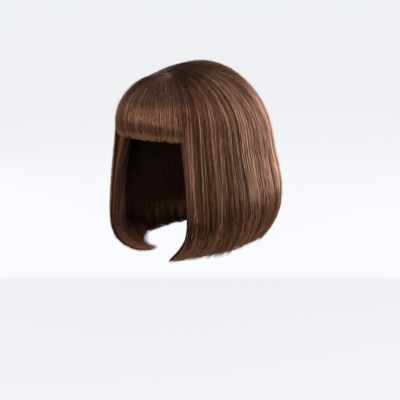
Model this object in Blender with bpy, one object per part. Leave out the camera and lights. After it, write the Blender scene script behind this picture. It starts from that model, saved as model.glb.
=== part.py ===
"""A chin-length bob wig with a full fringe, as separate closed solids.

The wig faces -Y, the wearer's left is +X and +Z is up. The origin is the top of the inside of the
cap, where it sits on the head. All lengths are in metres and all azimuths in degrees, measured
about the crown from the front (0) towards the wearer's left (90) and round to the back (180).
"""
import math

import bmesh
import bpy
import numpy as np

# The head that the cap is made to fit
HEAD_HALF_WIDTH = 0.0775
HEAD_FRONT = 0.122
HEAD_BACK = 0.073
HEAD_DEPTH = 0.100
HEAD_NARROWING = 0.150
HEAD_POWER = 2.3
HEAD_RING_POWER = 2.1

# The cap, and how far down its rim reaches
CAP_WALL = 0.0015
CAP_FRONT_RIM = 0.060
CAP_EAR_RIM = 0.114
CAP_NAPE_RIM = 0.156

# How far the hair stands off the head at its widest line, and above the crown
SIDE_VOLUME = 0.0262
FRONT_VOLUME = 0.0234
BACK_VOLUME = 0.0354
CROWN_VOLUME = 0.0079
CROWN_Y = 0.013
RING_POWER = 2.3
FRONT_DOME = 0.080
SIDE_DOME = 0.1204
BACK_DOME = 0.1285
FRONT_DOME_POWER = 2.16
SIDE_DOME_POWER = 1.89
BACK_DOME_POWER = 1.69

# Lengths below the top of the inside of the cap
FRONT_LENGTH = 0.2885
BACK_LENGTH = 0.254
FRINGE_LENGTH = 0.1025
BELLY_FLARE = 0.016
FRINGE_CURL = 0.010
TIP_THICKNESS = 0.0036

# The oval patch that the hair is combed away from
PATCH_X = -0.012
PATCH_Y = -0.061
PATCH_HALF_WIDTH = 0.015
PATCH_HALF_DEPTH = 0.007
PATCH_THICKNESS = 0.0010
PATCH_CLEARANCE = 0.0006
ROOT_THICKNESS = 0.0020
ROOT_FADE = 0.018

# Clearances between the pieces
HAIR_CLEARANCE = 0.0011
SEAM_CLEARANCE = 0.0005

# Where one piece of hair ends and the next begins
FRINGE_EDGE_DEG = 30.5
SIDE_EDGE_DEG = 72.0

# The locks
FRINGE_LOCKS = 8
SIDE_LOCKS = 6
BACK_LOCKS = 14
LOCK_DEPTH = 0.0026
FRINGE_LOCK_DEPTH = 0.0016
FURROW_DEPTH = 0.0025
LOCK_STEPS = 4
RAGGED = 0.035
FRINGE_RAGGED = 0.10

DOME_ROWS = 10
FALL_ROWS = 8
FRINGE_DOME_ROWS = 8
FRINGE_FALL_ROWS = 4
CAP_COLUMNS = 40
CAP_ROWS = 12
PATCH_COLUMNS = 28

SIDE_REACH = HEAD_HALF_WIDTH + SIDE_VOLUME
FRONT_REACH = CROWN_Y + HEAD_FRONT + FRONT_VOLUME
BACK_REACH = HEAD_BACK + BACK_VOLUME - CROWN_Y

# Columns: azimuth; flare at the belly, as a share of BELLY_FLARE; height of the belly, as a share
# of the length there; the tip's place across, as a share of SIDE_REACH; the tip's place from the
# crown to the front (minus) or back (plus), as a share of that reach; the length of the left side
# and of the right, from BACK_LENGTH (0) to FRONT_LENGTH (1).
FALL = np.array([
    (30.5, 0.66, 0.779, 0.395, -0.739, 1.00, 1.00),
    (46.0, 0.81, 0.770, 0.482, -0.511, 0.97, 0.94),
    (62.0, 0.89, 0.767, 0.781, -0.322, 0.77, 0.63),
    (90.0, 1.00, 0.760, 0.849, 0.010, 0.49, 0.23),
    (125.0, 0.90, 0.748, 0.762, 0.524, 0.23, 0.11),
    (155.0, 0.87, 0.724, 0.366, 0.776, 0.06, 0.03),
    (180.0, 0.84, 0.692, 0.000, 0.828, 0.00, 0.00),
])

# Columns: azimuth; how far the tips turn in, as a share of FRINGE_CURL; length, as a share of
# FRINGE_LENGTH.
FRINGE_FALL = np.array([
    (0.0, 1.00, 0.995),
    (20.0, 0.90, 1.000),
    (31.0, 0.70, 1.005),
])

# Columns: azimuth about the top of the head; depth of the rim between its three named depths:
# 0 is CAP_FRONT_RIM, 1 is CAP_EAR_RIM and 2 is CAP_NAPE_RIM.
RIM = np.array([
    (0.0, 0.00),
    (25.0, 0.08),
    (50.0, 0.45),
    (72.0, 1.00),
    (92.0, 0.84),
    (112.0, 1.15),
    (145.0, 1.88),
    (180.0, 2.00),
])


def read_table(table, azimuth):
    """Read a table of sections at an azimuth, along a smooth curve through its rows."""
    stations = table[:, 0]
    where = min(max(abs(azimuth), stations[0]), stations[-1])
    row = min(int(np.searchsorted(stations, where, side="right")) - 1, len(table) - 2)
    span = stations[row + 1] - stations[row]
    t = (where - stations[row]) / span
    slopes = np.gradient(table[:, 1:], stations, axis=0)
    values = table[:, 1:]
    start = (1 + 2 * t) * (1 - t) ** 2 * values[row]
    end = t * t * (3 - 2 * t) * values[row + 1]
    leaving = t * (1 - t) ** 2 * span * slopes[row]
    arriving = t * t * (t - 1) * span * slopes[row + 1]
    return start + end + leaving + arriving


def wobble(number, seed):
    """An even-looking value from -1 to 1 for a lock, the same on every run."""
    return math.sin(12.9898 * number + 4.1414 * seed + 1.7 * math.sin(3.1 * number + seed))


def plan_direction(azimuth):
    """The level direction of an azimuth."""
    angle = math.radians(azimuth)
    return np.array([math.sin(angle), -math.cos(angle)])


def ring_point(azimuth):
    """A plan point on the widest line of the hair."""
    way = plan_direction(azimuth)
    reach = FRONT_REACH if way[1] < 0 else BACK_REACH
    across = abs(way[0] / SIDE_REACH) ** RING_POWER
    along = abs(way[1] / reach) ** RING_POWER
    radius = (across + along) ** (-1 / RING_POWER)
    return np.array([0.0, CROWN_Y]) + radius * way


def dome_height(x, y):
    """Height of the outside of the hair over a plan point."""
    dy = y - CROWN_Y
    front = dy < 0
    reach = FRONT_REACH if front else BACK_REACH
    across = abs(x / SIDE_REACH) ** RING_POWER
    along = abs(dy / reach) ** RING_POWER
    share = min((across + along) ** (1 / RING_POWER), 1.0)
    lengthwise = dy * dy / (x * x + dy * dy) if x or dy else 0.0
    end_depth = FRONT_DOME if front else BACK_DOME
    end_power = FRONT_DOME_POWER if front else BACK_DOME_POWER
    depth = end_depth * lengthwise + SIDE_DOME * (1 - lengthwise)
    power = end_power * lengthwise + SIDE_DOME_POWER * (1 - lengthwise)
    return CROWN_VOLUME - depth * (1 - (1 - share ** power) ** (1 / power))


def head_share(x, y, off):
    """How far out a plan point is on a layer that lies off the head, from 0 to 1 at its widest."""
    reach = (HEAD_FRONT if y < 0 else HEAD_BACK) + off
    across = abs(x / (HEAD_HALF_WIDTH + off)) ** HEAD_RING_POWER
    along = abs(y / reach) ** HEAD_RING_POWER
    return (across + along) ** (1 / HEAD_RING_POWER)


def head_height(x, y, off):
    """Height of a layer that lies off the head, over a plan point."""
    share = min(head_share(x, y, off), 1.0)
    return off - (HEAD_DEPTH + off) * (1 - (1 - share ** HEAD_POWER) ** (1 / HEAD_POWER))


def head_point(azimuth, turn, off):
    """A point on a layer off the head; turn is 0 at the top and a quarter turn at the widest."""
    way = plan_direction(azimuth)
    reach = (HEAD_FRONT if way[1] < 0 else HEAD_BACK) + off
    across = abs(way[0] / (HEAD_HALF_WIDTH + off)) ** HEAD_RING_POWER
    along = abs(way[1] / reach) ** HEAD_RING_POWER
    radius = (across + along) ** (-1 / HEAD_RING_POWER)
    if turn < math.pi / 2:
        share = math.sin(turn) ** (2 / HEAD_POWER)
        height = off - (HEAD_DEPTH + off) * (1 - math.cos(turn) ** (2 / HEAD_POWER))
    else:
        share = math.cos(turn - math.pi / 2)
        height = -HEAD_DEPTH - HEAD_NARROWING * math.sin(turn - math.pi / 2)
    return np.array([*(radius * share * way), height])


def bezier(first, second, third, last, count):
    """Points along one cubic curve."""
    t = np.linspace(0, 1, count)[:, None]
    near = (1 - t) ** 3 * first + 3 * (1 - t) ** 2 * t * second
    far = 3 * (1 - t) * t ** 2 * third + t ** 3 * last
    return near + far


def spaced(line, shares):
    """Points along a line, at shares of its length."""
    steps = np.linalg.norm(np.diff(line, axis=0), axis=1)
    length = np.concatenate([[0.0], np.cumsum(steps)])
    wanted = np.asarray(shares) * length[-1]
    return np.column_stack([np.interp(wanted, length, line[:, axis]) for axis in range(3)])


def outward(line, across):
    """The way out of the hair at each point of a combed line that runs across and then down."""
    tangent = np.gradient(line, axis=0)
    side = np.array([-across[1], across[0], 0.0])
    normal = np.cross(tangent, side)
    return normal / np.linalg.norm(normal, axis=1)[:, None]


def combed_line(azimuth, is_fringe):
    """The outside of one combed line over the dome and down its fall, and its inside on the cap."""
    off = CAP_WALL + HAIR_CLEARANCE
    edge = ring_point(azimuth)
    patch = np.array([PATCH_X, PATCH_Y])
    out = (edge - patch) / np.linalg.norm(edge - patch)
    oval = math.hypot(out[0] / PATCH_HALF_WIDTH, out[1] / PATCH_HALF_DEPTH)
    start = patch + out / oval
    reach = np.linalg.norm(edge - start)
    across = np.array([out[0], out[1], 0.0])
    down = np.array([0.0, 0.0, -1.0])

    # The outside of the dome, with the root drawn down onto the patch
    run = reach * np.sin(np.linspace(0, math.pi / 2, 60))
    plan = start + out * run[:, None]
    height = np.array([dome_height(x, y) for x, y in plan])
    root = head_height(start[0], start[1], off) + ROOT_THICKNESS
    height = height - (height[0] - root) * np.exp(-(run / ROOT_FADE) ** 2)
    dome = np.column_stack([plan, height])

    # The inside lies on the cap as far as the level where the hair leaves it
    leave = -CAP_FRONT_RIM if is_fringe else max(height[-1], CAP_WALL - HEAD_DEPTH)
    near, far = 0.0, reach
    for _ in range(50):
        middle = (near + far) / 2
        x, y = start + out * middle
        if head_share(x, y, off) < 1 and head_height(x, y, off) > leave:
            near = middle
        else:
            far = middle
    run = near * np.sin(np.linspace(0, math.pi / 2, 60))
    plan = start + out * run[:, None]
    height = np.array([head_height(x, y, off) for x, y in plan])
    lining = np.column_stack([plan, height])

    # The fall, from the widest line to the tip
    top = dome[-1]
    if is_fringe:
        curl, length = read_table(FRINGE_FALL, azimuth) * (FRINGE_CURL, FRINGE_LENGTH)
        tip = top - across * curl
        tip[2] = -length
        drop = top[2] - tip[2]
        before_tip = tip + across * curl * 0.45 - down * drop * 0.35
        fall = bezier(top, top + down * drop * 0.45, before_tip, tip, 60)
    else:
        flare, belly_share, tip_x, tip_y, left, right = read_table(FALL, azimuth)
        length = BACK_LENGTH + (FRONT_LENGTH - BACK_LENGTH) * (left if azimuth > 0 else right)
        belly = top + across * flare * BELLY_FLARE
        belly[2] = -belly_share * length
        x = math.copysign(tip_x * SIDE_REACH, azimuth)
        y = CROWN_Y + tip_y * (FRONT_REACH if tip_y < 0 else BACK_REACH)
        tip = np.array([x, y, -length])
        upper = top[2] - belly[2]
        lower = belly[2] - tip[2]
        inward = tip - belly
        inward[2] = 0.0
        after_top = top + down * upper * 0.35 + (belly - top) * (1, 1, 0) * 0.35
        before_belly = belly - down * upper * 0.35
        before_tip = tip - inward * 0.42 - down * lower * 0.2
        first = bezier(top, after_top, before_belly, belly, 60)
        last = bezier(belly, belly + down * lower * 0.5, before_tip, tip, 60)
        fall = np.vstack([first, last[1:]])
    return dome, fall, lining, reach - near, across


def lock_columns(start, end, locks, seed):
    """Azimuths of the columns of a row of locks, and how high each stands: 0 groove, 1 crest."""
    bounds = []
    for lock in range(locks + 1):
        shift = 0.2 * wobble(lock, seed) if 0 < lock < locks else 0.0
        bounds.append(start + (end - start) * (lock + shift) / locks)
    columns = []
    for lock in range(locks):
        crest = 0.8 + 0.2 * wobble(lock, seed + 7)
        for step in range(LOCK_STEPS):
            share = step / LOCK_STEPS
            azimuth = bounds[lock] + (bounds[lock + 1] - bounds[lock]) * share
            columns.append((azimuth, crest * (1 - (2 * share - 1) ** 2), 0.0))
    columns.append((bounds[-1], 0.0, 0.0))
    return columns


def hair_column(azimuth, rib, furrow, roundness, is_fringe):
    """Outer and inner points of one column of a piece of hair, from its root to its tip."""
    dome, fall, lining, thickness, across = combed_line(azimuth, is_fringe)
    dome_rows = FRINGE_DOME_ROWS if is_fringe else DOME_ROWS
    fall_rows = FRINGE_FALL_ROWS if is_fringe else FALL_ROWS
    ragged = FRINGE_RAGGED if is_fringe else RAGGED
    depth = FRINGE_LOCK_DEPTH if is_fringe else LOCK_DEPTH

    dome_shares = np.linspace(0, 1, dome_rows)
    fall_shares = np.linspace(0, 1, fall_rows + 1)[1:] ** 0.9
    cut = 1 - ragged * (1 - rib)
    upper = spaced(dome, dome_shares)
    lower = spaced(fall, fall_shares * cut)
    inner_upper = spaced(lining, dome_shares)
    outer = np.vstack([upper, lower])
    normal = outward(outer, across)

    # Thickness of the fall, from the cap down to the tips. A front edge is rounded off.
    left = TIP_THICKNESS + (thickness - TIP_THICKNESS) * (1 - fall_shares) ** 0.6
    below_fringe = np.clip((fall_shares - 0.08) / 0.25, 0, 1)
    left = left * (1 - (1 - roundness) * below_fringe)
    inner = np.vstack([inner_upper, lower - normal[dome_rows:] * left[:, None]])
    tuck = (1 - roundness) * 0.25 * below_fringe * left

    # The locks stand out of the surface, more towards the fall than at the root
    grown = np.concatenate([0.75 * dome_shares ** 1.4, 0.75 + 0.25 * fall_shares])
    grown[dome_rows:] *= 1 - 0.45 * fall_shares ** 3
    relief = grown * ((rib - 0.6) * depth - furrow * FURROW_DEPTH)
    relief[dome_rows:] -= tuck
    return outer + normal * relief[:, None], inner


def hair_grids(columns, is_fringe, rounding):
    """The outer and inner grids of a piece of hair, its two sides drawn in from its neighbours."""
    outer = []
    inner = []
    for number, (azimuth, rib, furrow) in enumerate(columns):
        roundness = rounding[number] if number < len(rounding) else 1.0
        outer_points, inner_points = hair_column(azimuth, rib, furrow, roundness, is_fringe)
        outer.append(outer_points)
        inner.append(inner_points)
    outer = np.array(outer)
    inner = np.array(inner)
    for grid in (outer, inner):
        for side, neighbour in ((0, 1), (-1, -2)):
            way = grid[neighbour] - grid[side]
            way = way / np.linalg.norm(way, axis=1)[:, None]
            grid[side] += way * SEAM_CLEARANCE / 2
    return outer, inner


def add_object(name, points, faces, colour, roughness):
    """Make one closed, smooth-shaded object with its own material."""
    mesh = bpy.data.meshes.new(name)
    mesh.from_pydata([tuple(point) for point in points], [], faces)
    body = bmesh.new()
    body.from_mesh(mesh)
    bmesh.ops.triangulate(body, faces=body.faces[:])
    bmesh.ops.recalc_face_normals(body, faces=body.faces[:])
    body.to_mesh(mesh)
    body.free()
    mesh.shade_smooth()
    mesh.set_sharp_from_angle(angle=math.radians(40))
    material = bpy.data.materials.new(name)
    material.use_nodes = True
    shader = material.node_tree.nodes["Principled BSDF"]
    shader.inputs["Base Color"].default_value = (*colour, 1.0)
    shader.inputs["Roughness"].default_value = roughness
    shader.inputs["Metallic"].default_value = 0.0
    mesh.materials.append(material)
    thing = bpy.data.objects.new(name, mesh)
    bpy.context.scene.collection.objects.link(thing)
    return thing


def shell_faces(columns, rows, closed_ring):
    """Faces of a shell made of an outer grid and then an inner grid of the same size."""
    size = columns * rows
    faces = []
    last = columns if closed_ring else columns - 1
    for column in range(last):
        here = column * rows
        there = (column + 1) % columns * rows
        for row in range(rows - 1):
            quad = (here + row, there + row, there + row + 1, here + row + 1)
            faces.append(quad)
            faces.append(tuple(size + corner for corner in reversed(quad)))
        faces.append((here, size + here, size + there, there))
        low_here = here + rows - 1
        low_there = there + rows - 1
        faces.append((low_here, low_there, size + low_there, size + low_here))
    if not closed_ring:
        for row in range(rows - 1):
            faces.append((row, row + 1, size + row + 1, size + row))
            far = (columns - 1) * rows + row
            faces.append((far, size + far, size + far + 1, far + 1))
    return faces


def add_hair(name, columns, is_fringe, rounding, colour):
    """One piece of hair: a shell in locks over the cap, hanging free below it."""
    outer, inner = hair_grids(columns, is_fringe, rounding)
    points = np.concatenate([outer.reshape(-1, 3), inner.reshape(-1, 3)])
    faces = shell_faces(outer.shape[0], outer.shape[1], closed_ring=False)
    return add_object(name, points, faces, colour, 0.45)


def add_capped(name, outer, inner, outer_pole, inner_pole, colour, roughness):
    """A closed dish: two grids of rings, each with a point at its middle."""
    columns, rows = outer.shape[:2]
    size = columns * rows
    points = np.concatenate([outer.reshape(-1, 3), inner.reshape(-1, 3), [outer_pole, inner_pole]])
    faces = []
    for column in range(columns):
        here = column * rows
        there = (column + 1) % columns * rows
        for row in range(rows - 1):
            quad = (here + row, there + row, there + row + 1, here + row + 1)
            faces.append(quad)
            faces.append(tuple(size + corner for corner in reversed(quad)))
        low_here = here + rows - 1
        low_there = there + rows - 1
        faces.append((low_here, low_there, size + low_there, size + low_here))
        faces.append((2 * size, there, here))
        faces.append((2 * size + 1, size + here, size + there))
    return add_object(name, points, faces, colour, roughness)


def rim_turn(azimuth):
    """How far round the head's profile the cap's rim lies at an azimuth."""
    between = float(read_table(RIM, azimuth)[0])
    depth = np.interp(between, (0, 1, 2), (CAP_FRONT_RIM, CAP_EAR_RIM, CAP_NAPE_RIM))
    if depth < HEAD_DEPTH:
        return math.acos((1 - depth / HEAD_DEPTH) ** (HEAD_POWER / 2))
    return math.pi / 2 + math.asin((depth - HEAD_DEPTH) / HEAD_NARROWING)


def add_cap():
    """The base cap: a thin shell on the head, cut high at the forehead and low at the nape."""
    outer = []
    inner = []
    for column in range(CAP_COLUMNS):
        azimuth = 360 * column / CAP_COLUMNS
        turn = rim_turn(azimuth if azimuth <= 180 else 360 - azimuth)
        turns = turn * np.arange(1, CAP_ROWS + 1) / CAP_ROWS
        outer.append([head_point(azimuth, step, CAP_WALL) for step in turns])
        inner.append([head_point(azimuth, step, 0.0) for step in turns])
    poles = np.array([0.0, 0.0, CAP_WALL]), np.zeros(3)
    return add_capped("cap", np.array(outer), np.array(inner), *poles, (0.03, 0.022, 0.018), 0.8)


def add_patch():
    """The parting patch: a thin oval that follows the top of the cap."""
    under = CAP_WALL + PATCH_CLEARANCE
    layers = under + PATCH_THICKNESS, under
    half = np.array([PATCH_HALF_WIDTH, PATCH_HALF_DEPTH]) - PATCH_CLEARANCE
    grids = []
    poles = []
    for off in layers:
        grid = []
        for column in range(PATCH_COLUMNS):
            angle = 2 * math.pi * column / PATCH_COLUMNS
            ring = []
            for share in (0.4, 0.75, 1.0):
                x = PATCH_X + half[0] * share * math.sin(angle)
                y = PATCH_Y - half[1] * share * math.cos(angle)
                ring.append((x, y, head_height(x, y, off)))
            grid.append(ring)
        grids.append(np.array(grid))
        poles.append(np.array([PATCH_X, PATCH_Y, head_height(PATCH_X, PATCH_Y, off)]))
    return add_capped("parting_patch", *grids, *poles, (0.55, 0.40, 0.30), 0.6)


for old in list(bpy.data.objects):
    bpy.data.objects.remove(old, do_unlink=True)

BROWN = (0.085, 0.040, 0.024)
WARM_BROWN = (0.105, 0.050, 0.030)
FRONT_EDGE_ROUNDING = (0.45, 0.80, 0.95)

add_cap()
add_patch()

fringe = lock_columns(-FRINGE_EDGE_DEG, FRINGE_EDGE_DEG, FRINGE_LOCKS, 1)
add_hair("fringe", fringe, True, (), WARM_BROWN)

left = lock_columns(FRINGE_EDGE_DEG, SIDE_EDGE_DEG, SIDE_LOCKS, 2)
left[-1] = (SIDE_EDGE_DEG, 0.0, 1.0)
add_hair("left_side", left, False, FRONT_EDGE_ROUNDING, BROWN)

right = [(-azimuth, rib, furrow) for azimuth, rib, furrow in left]
add_hair("right_side", right, False, FRONT_EDGE_ROUNDING, BROWN)

back = lock_columns(SIDE_EDGE_DEG, 360 - SIDE_EDGE_DEG, BACK_LOCKS, 3)
back = [(azimuth if azimuth <= 180 else azimuth - 360, rib, 0.0) for azimuth, rib, _ in back]
back[0] = (SIDE_EDGE_DEG, 0.0, 1.0)
back[-1] = (-SIDE_EDGE_DEG, 0.0, 1.0)
add_hair("back", back, False, (), BROWN)
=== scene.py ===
# %% [markdown]
# # A chin-length bob wig
#
# A wig is a net cap with thousands of fibres tied or sewn to it. Its look comes from three things:
# the smooth form that the hair is cut and combed to, the fine strands that follow that form, and a
# gloss that slides along the strands. This lesson keeps them apart. The form is worked out with a
# few formulas, Geometry Nodes comb the strands over it, and the materials give the gloss.

# %% Frame
import math
from functools import partial

import bpy
import numpy as np
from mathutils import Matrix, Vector


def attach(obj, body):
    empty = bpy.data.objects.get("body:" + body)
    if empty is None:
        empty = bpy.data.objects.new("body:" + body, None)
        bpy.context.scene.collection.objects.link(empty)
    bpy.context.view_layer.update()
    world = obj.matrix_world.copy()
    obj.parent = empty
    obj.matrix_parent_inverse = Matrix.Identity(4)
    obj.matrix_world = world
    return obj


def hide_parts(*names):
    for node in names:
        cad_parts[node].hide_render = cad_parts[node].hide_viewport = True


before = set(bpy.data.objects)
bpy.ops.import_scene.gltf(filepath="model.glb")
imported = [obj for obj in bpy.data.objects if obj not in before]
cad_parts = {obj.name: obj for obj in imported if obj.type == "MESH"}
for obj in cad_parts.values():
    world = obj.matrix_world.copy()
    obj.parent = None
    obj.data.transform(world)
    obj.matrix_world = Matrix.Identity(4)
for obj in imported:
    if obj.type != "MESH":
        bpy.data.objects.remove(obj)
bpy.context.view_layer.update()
print("solids:", sorted(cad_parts))

# %% [markdown]
# ## Camera
#
# A product photograph like this one is taken with a long lens from a few metres away, so that the
# near curtain of hair isn't drawn larger than the far one. The camera looks a little down, from the
# wearer's front left. Its aim is worked out from where the top of the cap falls in the frame.

# %% Camera
FRAME_PIXELS = 400
METRES_PER_PIXEL = 0.00155
CROWN_PIXEL = (199.2, 66.4)
CAMERA_AZIMUTH = math.radians(44.0)
CAMERA_ELEVATION = math.radians(9.3)
CAMERA_DISTANCE = 6.0
SENSOR = 36.0
CLIP_END = 100.0


def add_camera():
    """A long lens, aimed so that the origin falls on its place in the frame."""
    side = Vector((math.cos(CAMERA_AZIMUTH), math.sin(CAMERA_AZIMUTH), 0.0))
    level = math.cos(CAMERA_ELEVATION)
    back = Vector((math.sin(CAMERA_AZIMUTH) * level, -math.cos(CAMERA_AZIMUTH) * level,
                   math.sin(CAMERA_ELEVATION)))
    up = back.cross(side)
    middle = FRAME_PIXELS / 2
    target = side * (middle - CROWN_PIXEL[0]) * METRES_PER_PIXEL
    target -= up * (middle - CROWN_PIXEL[1]) * METRES_PER_PIXEL
    data = bpy.data.cameras.new("camera")
    data.sensor_width = SENSOR
    data.lens = SENSOR * CAMERA_DISTANCE / (FRAME_PIXELS * METRES_PER_PIXEL)
    data.clip_end = CLIP_END
    camera = bpy.data.objects.new("camera", data)
    bpy.context.scene.collection.objects.link(camera)
    camera.location = target + back * CAMERA_DISTANCE
    camera.rotation_euler = back.to_track_quat("Z", "Y").to_euler()
    bpy.context.scene.camera = camera
    return target


target = add_camera()
print("camera aims at", [round(value, 3) for value in target])

# %% [markdown]
# ## Form of the hair
#
# The outside of the hair is a dome that ends at its widest line, and a fall that hangs from there,
# flares a little and turns under at the tips. Both are formulas of an azimuth about the crown: 0 is
# the front, 90 the wearer's left and 180 the back. The same formulas shaped the solids, so the
# strands lie where the solids are. Only the tips of the curtains and the edge of the fringe
# differ, by a few millimetres.

# %% Sizes
HEAD_HALF_WIDTH = 0.0775
HEAD_FRONT = 0.122
HEAD_BACK = 0.073
HEAD_DEPTH = 0.100
HEAD_POWER = 2.3
HEAD_RING_POWER = 2.1

CAP_WALL = 0.0015
CAP_FRONT_RIM = 0.060

SIDE_REACH = HEAD_HALF_WIDTH + 0.0262
CROWN_TOP = 0.0079
CROWN_Y = 0.013
FRONT_REACH = CROWN_Y + HEAD_FRONT + 0.0234
BACK_REACH = HEAD_BACK + 0.0354 - CROWN_Y
RING_POWER = 2.3
DOME_DEPTH = {"front": 0.080, "side": 0.1204, "back": 0.1285}
DOME_POWER = {"front": 2.16, "side": 1.89, "back": 1.69}

FRONT_LENGTH = 0.2885
BACK_LENGTH = 0.254
FRINGE_LENGTH = 0.1025
BELLY_FLARE = 0.016
FRINGE_CURL = 0.010
TIP_THICKNESS = 0.0036
LEFT_TIP_DROP = 0.20
RIGHT_TIP_DROP = -0.10
LEFT_BELLY_HOLD = 0.5
RIGHT_BELLY_HOLD = 0.8

PATCH_CENTRE = np.array([-0.012, -0.061])
PATCH_HALF = np.array([0.015, 0.007])
PATCH_GAP = 0.0006
PATCH_THICKNESS = 0.0010
ROOT_THICKNESS = 0.0020
ROOT_FADE = 0.018
HAIR_GAP = 0.0011

FALL_HANDLE = 0.35
TIP_HANDLE = 0.42
FRINGE_HANDLE = 0.45

FRINGE_EDGE = 30.5
SIDE_EDGE = 72.0
LOCK_DEPTH = 0.0026
FRINGE_LOCK_DEPTH = 0.0016
FURROW_DEPTH = 0.0025

# Columns: azimuth; flare, swing to the back and height of the belly; the tip's place across and
# along, and the length of the left side and the right, all as shares of the sizes above.
FALL = np.array([
    (30.5, 0.66, 0.30, 0.805, 0.240, -0.650, 1.08, 0.78),
    (46.0, 0.81, 0.10, 0.785, 0.465, -0.500, 0.97, 0.76),
    (62.0, 0.89, 0.00, 0.767, 0.781, -0.322, 0.77, 0.52),
    (90.0, 1.00, 0.00, 0.760, 0.849, 0.010, 0.49, 0.23),
    (125.0, 0.90, 0.00, 0.748, 0.762, 0.524, 0.23, 0.11),
    (155.0, 0.87, 0.00, 0.724, 0.366, 0.776, 0.06, 0.03),
    (180.0, 0.84, 0.00, 0.692, 0.000, 0.828, 0.00, 0.00),
])
# Columns: azimuth; how far the fringe's tips turn in; its length.
FRINGE_FALL = np.array([
    (0.0, 1.00, 0.970),
    (20.0, 0.75, 0.980),
    (31.0, 0.30, 0.995),
])

# %% Dome and ring


def read_table(table, azimuth):
    """Read a table at an azimuth, along a smooth curve through its rows."""
    stations = table[:, 0]
    where = min(max(abs(azimuth), stations[0]), stations[-1])
    row = min(int(np.searchsorted(stations, where, side="right")) - 1, len(table) - 2)
    span = stations[row + 1] - stations[row]
    t = (where - stations[row]) / span
    slopes = np.gradient(table[:, 1:], stations, axis=0)
    values = table[:, 1:]
    start = (1 + 2 * t) * (1 - t) ** 2 * values[row]
    end = t * t * (3 - 2 * t) * values[row + 1]
    leaving = t * (1 - t) ** 2 * span * slopes[row]
    arriving = t * t * (t - 1) * span * slopes[row + 1]
    return start + end + leaving + arriving


def plan_direction(azimuth):
    """The level direction of an azimuth."""
    angle = math.radians(azimuth)
    return np.array([math.sin(angle), -math.cos(angle)])


def ring_point(azimuth):
    """A plan point on the widest line of the hair."""
    way = plan_direction(azimuth)
    reach = FRONT_REACH if way[1] < 0 else BACK_REACH
    across = abs(way[0] / SIDE_REACH) ** RING_POWER
    along = abs(way[1] / reach) ** RING_POWER
    return np.array([0.0, CROWN_Y]) + way * (across + along) ** (-1 / RING_POWER)


def dome_height(x, y):
    """Height of the outside of the hair over plan points."""
    dy = y - CROWN_Y
    front = dy < 0
    reach = np.where(front, FRONT_REACH, BACK_REACH)
    ring = np.abs(x / SIDE_REACH) ** RING_POWER + np.abs(dy / reach) ** RING_POWER
    share = np.minimum(ring ** (1 / RING_POWER), 1.0)
    lengthwise = dy * dy / (x * x + dy * dy)
    end_depth = np.where(front, DOME_DEPTH["front"], DOME_DEPTH["back"])
    end_power = np.where(front, DOME_POWER["front"], DOME_POWER["back"])
    depth = end_depth * lengthwise + DOME_DEPTH["side"] * (1 - lengthwise)
    power = end_power * lengthwise + DOME_POWER["side"] * (1 - lengthwise)
    return CROWN_TOP - depth * (1 - (1 - share ** power) ** (1 / power))


def head_share(x, y, off):
    """How far out plan points are on a layer off the head, from 0 to 1 at its widest."""
    reach = np.where(y < 0, HEAD_FRONT, HEAD_BACK) + off
    across = np.abs(x / (HEAD_HALF_WIDTH + off)) ** HEAD_RING_POWER
    return (across + np.abs(y / reach) ** HEAD_RING_POWER) ** (1 / HEAD_RING_POWER)


def head_height(x, y, off):
    """Height of a layer that lies off the head, over plan points."""
    share = np.minimum(head_share(x, y, off), 1.0)
    return off - (HEAD_DEPTH + off) * (1 - (1 - share ** HEAD_POWER) ** (1 / HEAD_POWER))


print("hair is", round(2 * SIDE_REACH * 1000), "mm wide at the ears")

# %% [markdown]
# ## Combed lines
#
# Hair lies along the line that a comb would draw from the crown patch to the tips. Each such line
# is an arc over the dome and one or two Bezier curves down the fall. Its inner twin lies on the cap
# and then inside the fall, so that the hair has a real thickness: about 26 mm by the ears, and
# under 4 mm at the tips.

# %% Combed line
LINE_STEPS = 60
TRIES = 400
DOWN = np.array([0.0, 0.0, -1.0])


def bezier(first, second, third, last):
    """Points along one cubic curve."""
    t = np.linspace(0, 1, LINE_STEPS)[:, None]
    near = (1 - t) ** 3 * first + 3 * (1 - t) ** 2 * t * second
    return near + 3 * (1 - t) * t ** 2 * third + t ** 3 * last


def spaced(line, shares):
    """Points along a line, at shares of its length."""
    steps = np.linalg.norm(np.diff(line, axis=0), axis=1)
    length = np.concatenate([[0.0], np.cumsum(steps)])
    return np.column_stack([np.interp(shares * length[-1], length, line[:, k]) for k in range(3)])


def side_fall(azimuth, top, across):
    """The fall of the sides and the back: out to the belly and in to the tip."""
    flare, swing, belly_share, tip_x, tip_y, left, right = read_table(FALL, azimuth)
    length = BACK_LENGTH + (FRONT_LENGTH - BACK_LENGTH) * (left if azimuth > 0 else right)
    tip_drop = LEFT_TIP_DROP if azimuth > 0 else RIGHT_TIP_DROP
    hold = LEFT_BELLY_HOLD if azimuth > 0 else RIGHT_BELLY_HOLD
    backward = math.copysign(1.0, azimuth) * np.array([-across[1], across[0], 0.0])
    belly = top + (across * flare + backward * swing) * BELLY_FLARE
    belly[2] = -belly_share * (BACK_LENGTH + (FRONT_LENGTH - BACK_LENGTH) * left)
    tip = np.array([math.copysign(tip_x * SIDE_REACH, azimuth),
                    CROWN_Y + tip_y * (FRONT_REACH if tip_y < 0 else BACK_REACH), -length])
    upper, lower = top[2] - belly[2], belly[2] - tip[2]
    inward = (tip - belly) * (1, 1, 0)
    after_top = top + DOWN * upper * FALL_HANDLE + (belly - top) * (1, 1, 0) * FALL_HANDLE
    before_tip = tip - inward * TIP_HANDLE - DOWN * lower * tip_drop
    first = bezier(top, after_top, belly - DOWN * upper * FALL_HANDLE, belly)
    last = bezier(belly, belly + DOWN * lower * hold, before_tip, tip)
    return np.vstack([first, last[1:]])


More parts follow.
